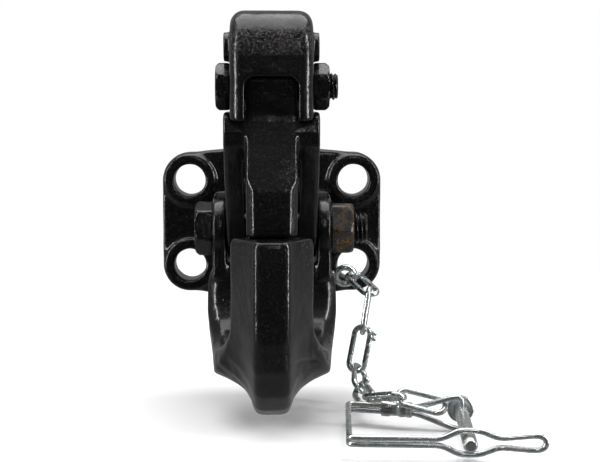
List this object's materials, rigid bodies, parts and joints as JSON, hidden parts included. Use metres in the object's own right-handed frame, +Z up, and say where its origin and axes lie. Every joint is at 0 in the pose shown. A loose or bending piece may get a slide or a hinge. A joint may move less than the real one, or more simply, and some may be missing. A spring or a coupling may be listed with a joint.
{
  "type": "pintle hook",
  "caption": "Rigid-mount pintle hook: bolted plate, open-throat hook, swinging latch, self-locking lever, and a wire-lock safety pin on a chain.",
  "frame": {"origin": "centre of the four-bolt pattern on the plate's rear mounting face", "axes": "+Z up, -Y out of the front of the hook (away from the vehicle), +X to the right of someone facing the hook"},
  "size_m": [0.1751, 0.1686, 0.1948],
  "materials": {
    "black_enamel": "gloss black enamel over rough forged steel",
    "worn_plated_nut": "yellow-zinc nut with a thin, patchy coat of black paint",
    "zinc_plate": "bright zinc-plated wire and pin",
    "yellow_zinc": "zinc plate with a faint yellow passivation",
    "spring_steel": "oiled spring wire"
  },
  "bodies": {
    "hook": {"hook_body": "black_enamel", "latch_pivot_bolt": "black_enamel", "latch_pivot_nut": "worn_plated_nut", "chain_anchor": "zinc_plate"},
    "latch": {"latch": "black_enamel", "lock_pivot_bolt": "black_enamel", "lock_pivot_nut": "black_enamel", "lock_spring": "spring_steel"},
    "lock": {"lock_lever": "black_enamel"},
    "link_1": {"chain_link_1": "zinc_plate"},
    "link_2": {"chain_link_2": "zinc_plate"},
    "link_3": {"chain_link_3": "zinc_plate"},
    "link_4": {"chain_link_4": "zinc_plate"},
    "link_5": {"chain_link_5": "zinc_plate"},
    "link_6": {"chain_link_6": "zinc_plate"},
    "link_7": {"chain_link_7": "zinc_plate"},
    "bail": {"bail_wire": "zinc_plate", "bail_ferrule": "yellow_zinc"},
    "pin": {"safety_pin": "zinc_plate", "pin_collar": "yellow_zinc"}
  },
  "joints": [
    {"name": "latch_swing", "type": "hinge", "parent": "hook", "child": "latch", "pos_m": [0, -0.048, 0], "axis": [-1, 0, 0], "range_deg": [0, 38]},
    {"name": "lock_lift", "type": "hinge", "parent": "latch", "child": "lock", "pos_m": [0, -0.092, 0.0705], "axis": [-1, 0, 0], "range_deg": [0, 27]},
    {"name": "link_1_swing", "type": "hinge", "parent": "hook", "child": "link_1", "pos_m": [0.0426, -0.0316, -0.027], "axis": [-0.1106, 0.3332, -0.9363], "range_deg": [-12, 12]},
    {"name": "link_2_swing", "type": "hinge", "parent": "link_1", "child": "link_2", "pos_m": [0.04885, -0.04821, -0.03365], "axis": [-0.9849, 0.0893, 0.1481], "range_deg": [-12, 12]},
    {"name": "link_3_swing", "type": "hinge", "parent": "link_2", "child": "link_3", "pos_m": [0.04568, -0.0517, -0.05277], "axis": [-0.128, -0.9833, 0.1291], "range_deg": [-12, 12]},
    {"name": "link_4_swing", "type": "hinge", "parent": "link_3", "child": "link_4", "pos_m": [0.0441, -0.05428, -0.0717], "axis": [0.8979, -0.1764, 0.4033], "range_deg": [-12, 12]},
    {"name": "link_5_swing", "type": "hinge", "parent": "link_4", "child": "link_5", "pos_m": [0.0429, -0.07316, -0.07718], "axis": [0.6767, 0.1909, -0.711], "range_deg": [-12, 12]},
    {"name": "link_6_swing", "type": "hinge", "parent": "link_5", "child": "link_6", "pos_m": [0.04744, -0.09176, -0.07723], "axis": [-0.3753, -0.5603, -0.7384], "range_deg": [-12, 12]},
    {"name": "link_7_swing", "type": "hinge", "parent": "link_6", "child": "link_7", "pos_m": [0.06171, -0.10357, -0.07426], "axis": [-0.0649, -0.9119, 0.4052], "range_deg": [0, 12]},
    {"name": "bail_roll", "type": "hinge", "parent": "link_7", "child": "bail", "pos_m": [0.0739, -0.10563, -0.07695], "axis": [0.9087, -0.271, 0.3175], "range_deg": [-12, 12]},
    {"name": "pin_play", "type": "hinge", "parent": "bail", "child": "pin", "pos_m": [0.08807, -0.10985, -0.0806], "axis": [0, 0, 1], "range_deg": [-3, 3]}
  ],
  "couplings": [
    {"joint": "lock_lift", "follows": "latch_swing", "ratio": 0.7}
  ]
}
